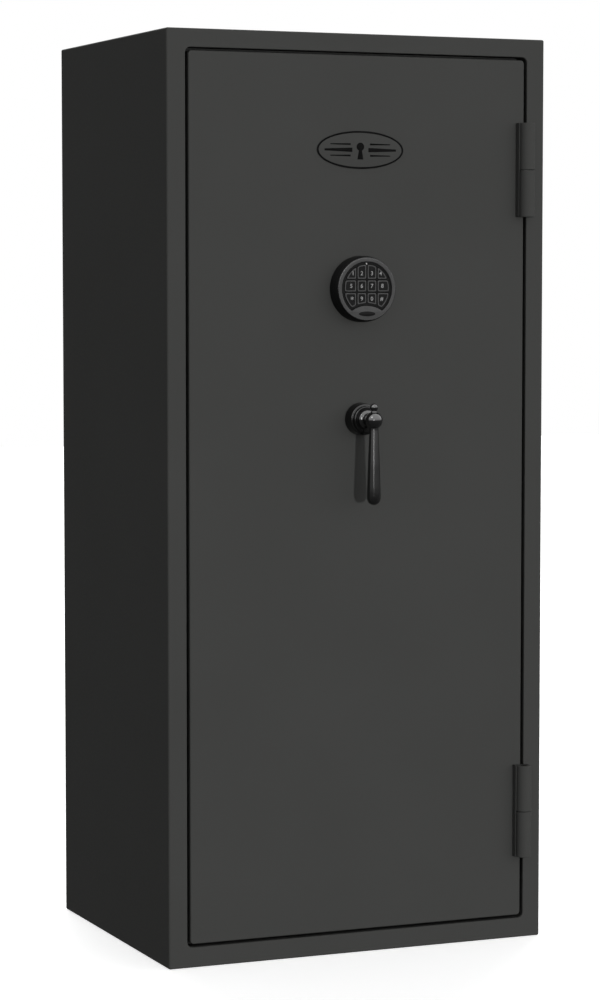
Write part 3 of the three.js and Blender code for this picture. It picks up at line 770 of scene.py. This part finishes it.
def make_room(pile, steel):
    for side in ("left", "right", "ceiling", "floor", "back"):
        carpeted(f"carpet_{side}", f"lining_{side}", pile, "carpet", CARPET_EDGE, 0.35 * MM)
    for node, name in (
        ("top_shelf", "upper_shelf_board"),
        ("half_shelf_upper", "side_shelf_board_upper"),
        ("half_shelf_lower", "side_shelf_board_lower"),
        ("shelf_divider", "divider_board"),
    ):
        carpeted(node, name, pile, "carpeted_board", BOARD_EDGE)
    make_rack(pile)
    make_shelf_brackets(steel)


def rack_outline(low, high):
    """The barrel rack from above: a board with round-bottomed notches in its front edge."""
    radius, depth, pitch, count, mouth = 14 * MM, 42 * MM, 55 * MM, 6, 2 * MM
    centre_y = low.y + depth - radius
    first = (low.x + high.x) / 2 - pitch * (count - 1) / 2
    points = [(low.x, high.y), (low.x, low.y)]
    for notch in range(count):
        x = first + notch * pitch
        points.append((x - radius - mouth, low.y))
        points.append((x - radius, low.y + mouth))
        points += arc(radius, spaced(-math.pi, -2 * math.pi, 13), x, centre_y)
        points.append((x + radius, low.y + mouth))
        points.append((x + radius + mouth, low.y))
    points += [(high.x, low.y), (high.x, high.y)]
    return points


def make_rack(pile):
    low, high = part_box("barrel_rack")
    board = outline_plate([rack_outline(low, high)], low.z, high.z, 2.2 * MM, Matrix.Identity(4))
    settle(add_object("notched_rack", board, [pile]), "safe_body", "carpeted_board", "barrel_rack")


def make_shelf_brackets(steel):
    """Folded angle cleats under the ends of each shelf."""
    room_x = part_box("carpet_right")[0].x
    divider_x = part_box("shelf_divider")[1].x
    for node in ("top_shelf", "half_shelf_upper", "half_shelf_lower"):
        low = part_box(node)[0]
        walls = [(room_x, -1)]
        walls.append((-room_x, 1) if node == "top_shelf" else (divider_x, 1))
        for wall, way in walls:
            side = "right" if way < 0 else "left"
            piece = add_object(f"{node}_cleat_{side}", shelf_cleat(wall, way, low), [steel])
            settle(piece, "safe_body", "bare_steel")


def shelf_cleat(wall, way, shelf_low):
    """An angle along a wall, with one leg on the wall and the other under the shelf."""
    front = shelf_low.y + CLEAT_INSET
    top = shelf_low.z - GAP
    heel = wall + way * GAP
    section = [(heel + way * out, top - down) for out, down in scaled(CLEAT)]
    rings = [[(x, y, z) for x, z in section] for y in (front, front + CLEAT_LENGTH)]
    return loft(rings, cap_start=True, cap_end=True)


# ---- Door ----

DOOR = rect_of(DOOR_LOW, DOOR_HIGH)
DOOR_CORNER = 6 * MM
DOOR_EDGE = 2.2 * MM
DOOR_REAR_EDGE = 0.4 * MM
BADGE_RIM = 3.0 * MM
BADGE_RELIEF = 0.45 * MM
# Each bar beside the keyhole, in millimetres: its height, start, end, and half its width at the start.
BADGE_BARS = ((0, 14, 62, 3.4), (9, 17, 52, 1.5), (-9, 17, 52, 1.5))


def make_door(paint):
    """The folded pan: a flat face, rounded edges and sides that run back to the inner plate."""
    rear = DOOR_HIGH.y
    profile = [(-SHEET, rear), (-DOOR_REAR_EDGE, rear), (0, rear - DOOR_REAR_EDGE)]
    for degrees in (0, 22.5, 45, 67.5, 90):
        angle = math.radians(degrees)
        profile.append((-DOOR_EDGE * (1 - math.cos(angle)), FRONT + DOOR_EDGE * (1 - math.sin(angle))))
    inner = [(-SHEET, FRONT + SHEET)]
    pan = sweep_rect(DOOR, DOOR_CORNER, inner + profile, cap_start=True, cap_end=True)
    settle(add_object("painted_door", pan, [paint], weighted=True), "door", "powder_coat", "door_panel")


def make_badge(paint, black):
    """A plain oval plate with a raised rim, and a keyhole between tapered bars."""
    low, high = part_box("door_badge")
    half_width = (high.x - low.x) / 2
    half_height = (high.z - low.z) / 2
    place = forward_from(0, (low.z + high.z) / 2)
    rear, front = FRONT - high.y, FRONT - low.y
    field = front - BADGE_RELIEF
    base = outline_plate([oval(half_width - GAP, half_height - GAP)], rear, field, 0.15 * MM, place)
    settle(add_object("badge_plate", base, [paint]), "door", "powder_coat", "door_badge")
    rim_inner = oval(half_width - BADGE_RIM, half_height - BADGE_RIM)
    marks = [outline_plate([oval(half_width, half_height), rim_inner], rear, front, 0.25 * MM, place)]
    for outline in [keyhole(), *badge_bars()]:
        marks.append(outline_plate([outline], field - 0.1 * MM, front, 0.15 * MM, place))
    settle(add_object("badge_marks", merged(*marks), [black]), "door", "black_metal")


def badge_bars():
    outlines = []
    for side in (-1, 1):
        for height, start, end, half in BADGE_BARS:
            bar = [(start, -half), (end, -0.5 * half), (end, 0.5 * half), (start, half)]
            outline = [(side * x * MM, (height + z) * MM) for x, z in bar]
            if side < 0:
                outline.reverse()
            outlines.append(outline)
    return outlines


def keyhole():
    """A round eye over a splayed slot."""
    eye, throat, foot, bottom, centre = 6.5 * MM, 2.6 * MM, 5.2 * MM, -15 * MM, 5 * MM
    start = -math.acos(throat / eye)
    round_eye = arc(eye, spaced(start, math.pi - start, 40), y=centre)
    return round_eye + [(-foot, bottom), (foot, bottom)]


# ---- Hinges ----

BARREL = 12.5 * MM
COVE = 13.4 * MM  # Radius of the leaf's hollow round the barrel.
SEAT = 12.7 * MM  # From the hinge's axis back to the surface that its feet stand on.
KNUCKLE_GAP = 0.6 * MM
# Sections about the hinge's axis, in millimetres: the web from the leaf to its barrel, and the frame's foot.
WEB = ((-13, 1.2), (-4, 1.2), (-4, 12.6), (-13, 12.6))
FOOT = ((5, 12.7), (5, 2), (14.2, 2), (14.2, 12.7))


def hinge_barrel(low, high):
    line = [(0, low), (BARREL, low), (BARREL, high), (0, high)]
    return turned(filleted(line, 1.4 * MM, 4), Matrix.Translation((HINGE_X, HINGE_Y, 0)), 64)


def hinge_prism(section, low, high):
    """A section of (x, y) points about the hinge's axis, as a prism with a small chamfer at each end."""
    chamfer = 0.6 * MM
    middle = Vector((sum(x for x, _ in section), sum(y for _, y in section))) / len(section)
    rings = []
    for z, share in ((low, 1), (low + chamfer, 0), (high - chamfer, 0), (high, 1)):
        ring = []
        for x, y in section:
            inward = (middle - Vector((x, y))).normalized() * chamfer * share
            ring.append((HINGE_X + x + inward.x, HINGE_Y + y + inward.y, z))
        rings.append(ring)
    return loft(rings, cap_start=True, cap_end=True)


def leaf_section():
    """The door's leaf: a bar with its corner rounded and its inner side hollowed round the barrel."""
    reach, front, round_over = 14.3 * MM, 1 * MM, 1.2 * MM
    cove_front = -math.sqrt(COVE ** 2 - front ** 2)
    cove_rear = -math.sqrt(COVE ** 2 - SEAT ** 2)
    edge = filleted([(-reach, SEAT), (-reach, front), (cove_front, front)], round_over, 4)
    angles = spaced(math.atan2(front, cove_front), math.atan2(SEAT, cove_rear), 9)
    return edge + arc(COVE, angles)[1:]


def make_hinges(paint):
    for side in ("upper", "lower"):
        leaf_low, leaf_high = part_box(f"{side}_hinge_door_leaf")
        foot_low, foot_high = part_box(f"{side}_hinge_frame_knuckle")
        split = foot_high.z + KNUCKLE_GAP
        door_half = merged(
            hinge_barrel(split, leaf_high.z),
            hinge_prism(leaf_section(), leaf_low.z, leaf_high.z),
            hinge_prism(scaled(WEB), split, leaf_high.z - GAP),
        )
        piece = add_object(f"{side}_hinge_leaf", door_half, [paint], weighted=True)
        settle(piece, "door", "powder_coat", f"{side}_hinge_door_leaf")
        frame_half = merged(
            hinge_barrel(foot_low.z, foot_high.z),
            hinge_prism(filleted(scaled(FOOT), 1.2 * MM, 4), foot_low.z, foot_high.z),
        )
        piece = add_object(f"{side}_hinge_knuckle", frame_half, [paint], weighted=True)
        settle(piece, "safe_body", "powder_coat", f"{side}_hinge_frame_knuckle")


# ---- Keypad ----

# The cup's radius at each distance from the door, in millimetres, from the door to just below the bezel.
CUP_WALL = ((52.5, 15), (51.6, 22))
CUP_FRONT_RADII = (50.0, 46)
CUP_BORE = 47
BEZEL_RISE = 0.7  # Millimetres by which the bezel stands before the cup.
FIELD_RADIUS = 43.5 * MM
BEZEL_RADIUS = 49.0 * MM
BEAD_RADIUS = 0.5 * MM
ARCH_RADIUS = 47.2 * MM
ARCH_BELOW = 73.9 * MM
KEY_RADIUS = 38.8 * MM
KEY_ARCH_MARGIN = 4.2 * MM
KEY_HALF_GAP = 1.1 * MM
KEY_COLUMNS = [v * MM for v in (-40, -17.5, 0, 17.5, 40)]
KEY_ROWS = [v * MM for v in (40, 14.8, -5.2, -40)]
KEY_MARKS = (("1", "2", "3", "4"), ("5", "6", "7", "8"), ("*", "9", "0", "#"))
KEY_NODES = {"*": "key_star", "#": "key_hash"}
MARK_X = [v * MM for v in (-27, -8.8, 8.8, 27)]
MARK_Z = [v * MM for v in (24.5, 4.6, -15.6)]
MARK_NUDGE = {"1": 3.0 * MM, "4": -3.0 * MM, "*": 1.5 * MM, "#": -1.0 * MM}
MARK_SIZE = 9 * MM
STAR_GROWTH = 1.35
STAR_DROP = 1.6 * MM
MARK_WEIGHT = 0.12 * MM
PAD_SINK = 0.35 * MM
KEY_RIM = 1.9 * MM
LAMP_HEIGHT = 39.9 * MM
# The lamp's lens, as (radius, distance from the door) in millimetres.
LAMP = ((0, 22), (1.3, 22), (1.3, 26.2), (0.9, 26.9), (0, 27.2))
INLAY_MIDDLE = (0, -39.4 * MM)
INLAY_OUTER = (15.8 * MM, 5.2 * MM)
INLAY_INNER = (14.4 * MM, 3.9 * MM)


def field_outline(radius, arch):
    """A disc with an arch taken out of its lower edge."""
    z = (arch ** 2 - radius ** 2 - ARCH_BELOW ** 2) / (2 * ARCH_BELOW)
    x = math.sqrt(radius ** 2 - z ** 2)
    start = math.atan2(z, x)
    rim = arc(radius, spaced(start, math.pi - start, 90))
    left = math.atan2(z + ARCH_BELOW, -x)
    right = math.atan2(z + ARCH_BELOW, x)
    dip = arc(arch, spaced(left, right, 28), y=-ARCH_BELOW)
    return rim + dip[1:-1]


def key_limit(row, column, margin):
    """How far a point is outside a key's outline, smoothed so that its corners are round."""
    x0, x1 = KEY_COLUMNS[column] + KEY_HALF_GAP, KEY_COLUMNS[column + 1] - KEY_HALF_GAP
    z0, z1 = KEY_ROWS[row + 1] + KEY_HALF_GAP, KEY_ROWS[row] - KEY_HALF_GAP
    softness = 0.7 * MM

    def outside(x, z):
        arch = ARCH_RADIUS + KEY_ARCH_MARGIN - math.hypot(x, z + ARCH_BELOW)
        sides = (x0 - x, x - x1, z0 - z, z - z1, math.hypot(x, z) - KEY_RADIUS, arch)
        return softness * math.log(sum(math.exp(s / softness) for s in sides)) - margin

    return outside


def key_outline(row, column, margin=0.0, rays=72):
    """The key's outline, found along rays from the middle of its area."""
    outside = key_limit(row, column, margin)
    grid = spaced(-40 * MM, 40 * MM, 81)
    held = [(x, z) for x in grid for z in grid if outside(x, z) < -1 * MM]
    middle_x = sum(x for x, _ in held) / len(held)
    middle_z = sum(z for _, z in held) / len(held)
    points = []
    for i in range(rays):
        angle = 2 * math.pi * i / rays
        near, far = 0.0, 40 * MM
        for _ in range(24):
            reach = (near + far) / 2
            if outside(middle_x + reach * math.cos(angle), middle_z + reach * math.sin(angle)) < 0:
                near = reach
            else:
                far = reach
        points.append((middle_x + near * math.cos(angle), middle_z + near * math.sin(angle)))
    return points


def legend(mark, x, z, height, place):
    """A digit or sign as a thin raised mark."""
    text = bpy.data.curves.new("mark", "FONT")
    text.body = mark
    text.size = MARK_SIZE * (STAR_GROWTH if mark == "*" else 1)
    text.align_x = "CENTER"
    text.align_y = "CENTER"
    text.extrude = MARK_WEIGHT
    text.offset = MARK_WEIGHT
    text.resolution_u = 4
    bm = solid_of(text, FINE_WELD)
    drop = STAR_DROP if mark == "*" else 0.0
    bmesh.ops.translate(bm, vec=(x, z - drop, height), verts=bm.verts)
    bm.transform(place)
    return bm


def with_index(bm, index):
    for face in bm.faces:
        face.material_index = index
    return bm


def make_key(row, column, rubber, rim, ink):
    """A rubber pad with a raised rim and its legend."""
    mark = KEY_MARKS[row][column]
    node = KEY_NODES.get(mark, f"key_{mark}")
    low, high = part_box(node)
    place = forward_from(0, KEYPAD_Z)
    rear, front = FRONT - high.y, FRONT - low.y
    pad_top = front - PAD_SINK
    rim_outlines = [key_outline(row, column, -0.25 * MM), key_outline(row, column, -KEY_RIM)]
    x = MARK_X[column] + MARK_NUDGE.get(mark, 0)
    parts = [
        with_index(outline_plate([key_outline(row, column)], rear, pad_top, 0.5 * MM, place), 0),
        with_index(outline_plate(rim_outlines, rear + 1 * MM, front, 0.25 * MM, place), 1),
        with_index(legend(mark, x, MARK_Z[row], pad_top, place), 2),
    ]
    piece = add_object(f"{node}_cap", merged(*parts), [rubber, rim, ink])
    settle(piece, node, "key_rubber", node)


def keypad_cup_profile(base, standoff):
    """The cup's wall from the bore's rear edge over the outside, and back down the bore."""
    outer, inner = CUP_FRONT_RADII
    lip = standoff / MM - BEZEL_RISE
    wall = [(CUP_BORE, base / MM), (CUP_WALL[0][0], base / MM), *CUP_WALL, (outer, lip), (inner, lip)]
    return filleted(scaled(wall), 1.0 * MM, 4) + [(inner * MM, standoff - 5 * MM), (CUP_BORE * MM, base)]


def make_keypad(black, bezel, gloss, rubber, rim, ink, lens):
    place = forward_from(0, KEYPAD_Z)
    standoff = FRONT - KEYPAD_LOW.y
    cup = turned(keypad_cup_profile(FRONT - KEYPAD_HIGH.y, standoff), place, 96)
    bmesh.ops.remove_doubles(cup, verts=cup.verts, dist=FINE_WELD)
    settle(add_object("keypad_cup", cup, [black], weighted=True), "door", "keypad_plastic", "keypad_housing")
    ring = outline_plate(
        [oval(BEZEL_RADIUS, BEZEL_RADIUS, count=128), field_outline(FIELD_RADIUS, ARCH_RADIUS)],
        standoff - 3.4 * MM,
        standoff,
        0.5 * MM,
        place,
    )
    settle(add_object("keypad_bezel", ring, [bezel]), "door", "keypad_plastic")
    make_keypad_face(black, place)
    make_keypad_trim(black, bezel, gloss, lens, place, standoff)
    for row in range(3):
        for column in range(4):
            make_key(row, column, rubber, rim, ink)


def make_keypad_face(black, place):
    low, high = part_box("keypad_face")
    pockets = [key_outline(row, column, 0.35 * MM) for row in range(3) for column in range(4)]
    field = field_outline(FIELD_RADIUS - GAP, ARCH_RADIUS + GAP)
    lamp_hole = oval(1.5 * MM, 1.5 * MM, (0, LAMP_HEIGHT), 24)
    face = outline_plate([field, *pockets, lamp_hole], FRONT - high.y, FRONT - low.y, 0.3 * MM, place)
    settle(add_object("keypad_membrane", face, [black]), "door", "keypad_plastic", "keypad_face")


def make_keypad_trim(black, bezel, gloss, lens, place, standoff):
    """The status lamp at the top, a satin bead round the bezel and a blank oval inlay on its lower part."""
    bead = arc(BEAD_RADIUS, spaced(0, 2 * math.pi, 13), BEZEL_RADIUS, standoff - 0.65 * MM)
    edge = turned(bead, place, 128)
    bmesh.ops.remove_doubles(edge, verts=edge.verts, dist=FINE_WELD)
    settle(add_object("keypad_edge_bead", edge, [gloss]), "door", "keypad_plastic")
    centre = place @ Matrix.Translation((0, LAMP_HEIGHT, 0))
    settle(add_object("keypad_lamp", turned(scaled(LAMP), centre, 24), [lens]), "door", "keypad_plastic")
    outer = oval(*INLAY_OUTER, INLAY_MIDDLE, 72)
    inner = oval(*INLAY_INNER, INLAY_MIDDLE, 72)
    root = standoff - 0.5 * MM
    rim = outline_plate([outer, inner], root, standoff + 0.3 * MM, 0.12 * MM, place)
    inlay = outline_plate([inner], root, standoff + 0.15 * MM, 0.1 * MM, place)
    marks = merged(with_index(rim, 0), with_index(inlay, 1))
    settle(add_object("keypad_inlay", marks, [bezel, black]), "door", "keypad_plastic")


# ---- Handle ----

LEVER_STANDOFF = 55 * MM
BALL = 13.8 * MM
FINIAL_BALL = 6.5 * MM
FINIAL_HEIGHT = 20.2 * MM
FINIAL_START = -0.75  # Angle at which the finial's ball leaves its stem, in radians.

# Profiles in millimetres. Rosette and hub: radius and distance from the door's face. Grip and finial: radius
# and height above the ball's middle.
ROSETTE = (
    (8, 0), (26, 0), (26, 4), (24.9, 19.4), (24.2, 21.6), (21.8, 22), (21.4, 27), (20.4, 28.4), (8, 28.4),
)
HUB = (
    (0, 28.8), (15.2, 28.8), (15.2, 32), (13.4, 33.4), (10.6, 34.6), (9.6, 40), (10.4, 46), (9, 55), (0, 55),
)
GRIP = (
    (0, -134.5), (5.5, -133.2), (9.4, -129.6), (11.2, -123.6), (10.9, -110),
    (9.5, -70), (7.9, -32), (7.1, -14), (7.1, -6), (0, -6),
)
FINIAL_STEM = ((0, 6), (5.2, 6), (5.2, 12.6), (4.5, 14.2), (4.5, 15.2))


def make_rosette(black):
    """The stepped collar, turned round the spindle's bore, with its foot where the CAD solid has it."""
    line = scaled(ROSETTE)
    line[:2] = [(radius, FRONT - ROSETTE_HIGH.y) for radius, _ in line[:2]]
    bm = turned(filleted(line, 0.9 * MM, 4) + [line[0]], forward_from(0, HANDLE_Z), 96)
    bmesh.ops.remove_doubles(bm, verts=bm.verts, dist=FINE_WELD)
    settle(add_object("stepped_rosette", bm, [black], weighted=True), "door", "black_metal", "handle_rosette")


def make_lever(black):
    """The hub on the spindle, the ball, the drooping grip and the finial on top."""
    middle = Matrix.Translation((0, FRONT - LEVER_STANDOFF, HANDLE_Z))
    knob = arc(FINIAL_BALL, spaced(FINIAL_START, math.pi / 2, 17), y=FINIAL_HEIGHT)
    lever = merged(
        turned(filleted(scaled(HUB), 1.2 * MM, 4), forward_from(0, HANDLE_Z), 72),
        turned(arc(BALL, spaced(-math.pi / 2, math.pi / 2, 33)), middle, 72),
        turned(filleted(scaled(GRIP), 3 * MM, 5), middle, 64),
        turned(scaled(FINIAL_STEM) + knob, middle, 48),
    )
    settle(add_object("lever_handle", lever, [black]), "handle", "black_metal", "handle_lever")


# ---- Boltwork ----

BROKEN_EDGE = 0.5 * MM
BROKEN_ANGLE = math.radians(50)
PIPING_RADIUS = 1.6 * MM
PIPING_INSET = 12 * MM
SCREW_INSET = 24 * MM
SCREW_ROWS = 6
# A cap screw on its washer, as (radius, height above the cover) in millimetres.
CAP_SCREW = ((0, -0.6), (6.5, -0.6), (6.5, 0.3), (4.6, 1.3), (3.6, 1.3), (3.4, 1.9), (2.2, 2.5), (0, 2.7))


def make_bolts(steel):
    """Turned locking bolts with a chamfered nose."""
    nose = 2.2 * MM
    across = Matrix.Rotation(math.radians(90), 4, "Y")
    for number in range(1, 5):
        low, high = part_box(f"locking_bolt_{number}")
        radius = (high.z - low.z) / 2
        length = high.x - low.x
        line = [(0, 0), (radius - nose, 0), (radius, nose), (radius, length), (0, length)]
        centre = Matrix.Translation((low.x, (low.y + high.y) / 2, (low.z + high.z) / 2))
        bm = turned(filleted(line, 0.7 * MM, 3), centre @ across, 64)
        piece = add_object(f"turned_bolt_{number}", bm, [steel], weighted=True)
        settle(piece, "bolt_bar", "bare_steel", f"locking_bolt_{number}")


def make_boltwork(steel):
    """The chassis, bars and lock case with their sheared edges broken, in place of the sharp CAD solids."""
    for node, name, body in (
        ("boltwork_frame", "chassis_ring", "door"),
        ("hinge_dead_bar", "dead_bar", "door"),
        ("lock_case", "lock_body", "door"),
        ("bolt_bar", "bolt_carrier", "bolt_bar"),
    ):
        piece = bpy.data.objects.new(name, frame["nodes"][node].data.copy())
        piece.data.materials.clear()
        piece.data.materials.append(steel)
        bpy.context.scene.collection.objects.link(piece)
        bevel = piece.modifiers.new("edge", "BEVEL")
        bevel.width = BROKEN_EDGE
        bevel.segments = 2
        bevel.limit_method = "ANGLE"
        bevel.angle_limit = BROKEN_ANGLE
        settle(piece, body, "bare_steel", node)


def make_door_back(pile, trim, steel):
    """The upholstered cover of the boltwork, with piping round its edge and capped screws."""
    low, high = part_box("door_back_panel")
    board = soft_box(low, high, CARPET_EDGE, CARPET_CELL, 0.4 * MM)
    settle(add_object("door_cover", board, [pile]), "door", "carpet", "door_back_panel")
    circle = arc(PIPING_RADIUS, spaced(0, 2 * math.pi, 11)[:-1], y=high.y + 0.35 * PIPING_RADIUS)
    cord = sweep_rect(grow(rect_of(low, high), -PIPING_INSET), 10 * MM, circle, closed=True)
    settle(add_object("cover_piping", cord, [trim]), "door", "carpet")
    left, right, bottom, top = grow(rect_of(low, high), -SCREW_INSET)
    screws = [cap_screw(x, high.y, z) for z in spaced(bottom, top, SCREW_ROWS) for x in (left, right)]
    settle(add_object("cover_screws", merged(*screws), [steel]), "door", "bare_steel")


def cap_screw(x, y, z):
    """A raised head on a finishing washer, facing into the safe."""
    place = Matrix.Translation((x, y, z)) @ Matrix.Rotation(math.radians(-90), 4, "X")
    return turned(scaled(CAP_SCREW), place, 28)


# ---- CAD nodes that keep their shape ----

KEPT_NODES = {
    "steel": (
        "door_inner_plate", "hard_plate", "handle_spindle", "drive_pinion",
        "upper_hinge_pin", "lower_hinge_pin",
    ),
    "brass": ("lock_bolt",),
    "board": (
        "fireboard_left", "fireboard_right", "fireboard_top", "fireboard_floor", "fireboard_back",
        "door_fireboard",
    ),
    "black": ("keypad_battery",),
    "rubber": ("lock_cable",),
}


def finish_cad_nodes(materials):
    """A procedural material for each CAD node that stays."""
    for key, names in KEPT_NODES.items():
        for name in names:
            frame["nodes"][name].material_slots[0].material = materials[key]


# ---- The whole ----


def make_object():
    paint = powder_coat()
    mould, steel, rubber = finish("moulded_black"), finish("bare_steel"), finish("seal_rubber")
    pile = carpet()
    make_floor(finish("studio_floor"))
    make_body(paint)
    make_back(paint)
    make_jamb(paint)
    make_seal(rubber)
    make_room(pile, steel)
    make_door(paint)
    make_badge(paint, finish("badge_black"))
    make_hinges(paint)
    keypad_finishes = ("moulded_grey", "satin_edge", "key_rubber", "key_rim", "key_legend", "lamp_lens")
    make_keypad(mould, *map(finish, keypad_finishes))
    make_rosette(finish("black_rosette"))
    make_lever(finish("black_enamel"))
    make_bolts(finish("turned_steel"))
    make_boltwork(steel)
    make_door_back(pile, finish("piping"), steel)
    kept = {"steel": steel, "black": mould, "rubber": rubber}
    finish_cad_nodes({**kept, "brass": finish("brass"), "board": finish("gypsum_board")})


make_camera()
make_world()
make_lights()
bpy.context.scene.view_settings.view_transform = "Standard"
make_object()
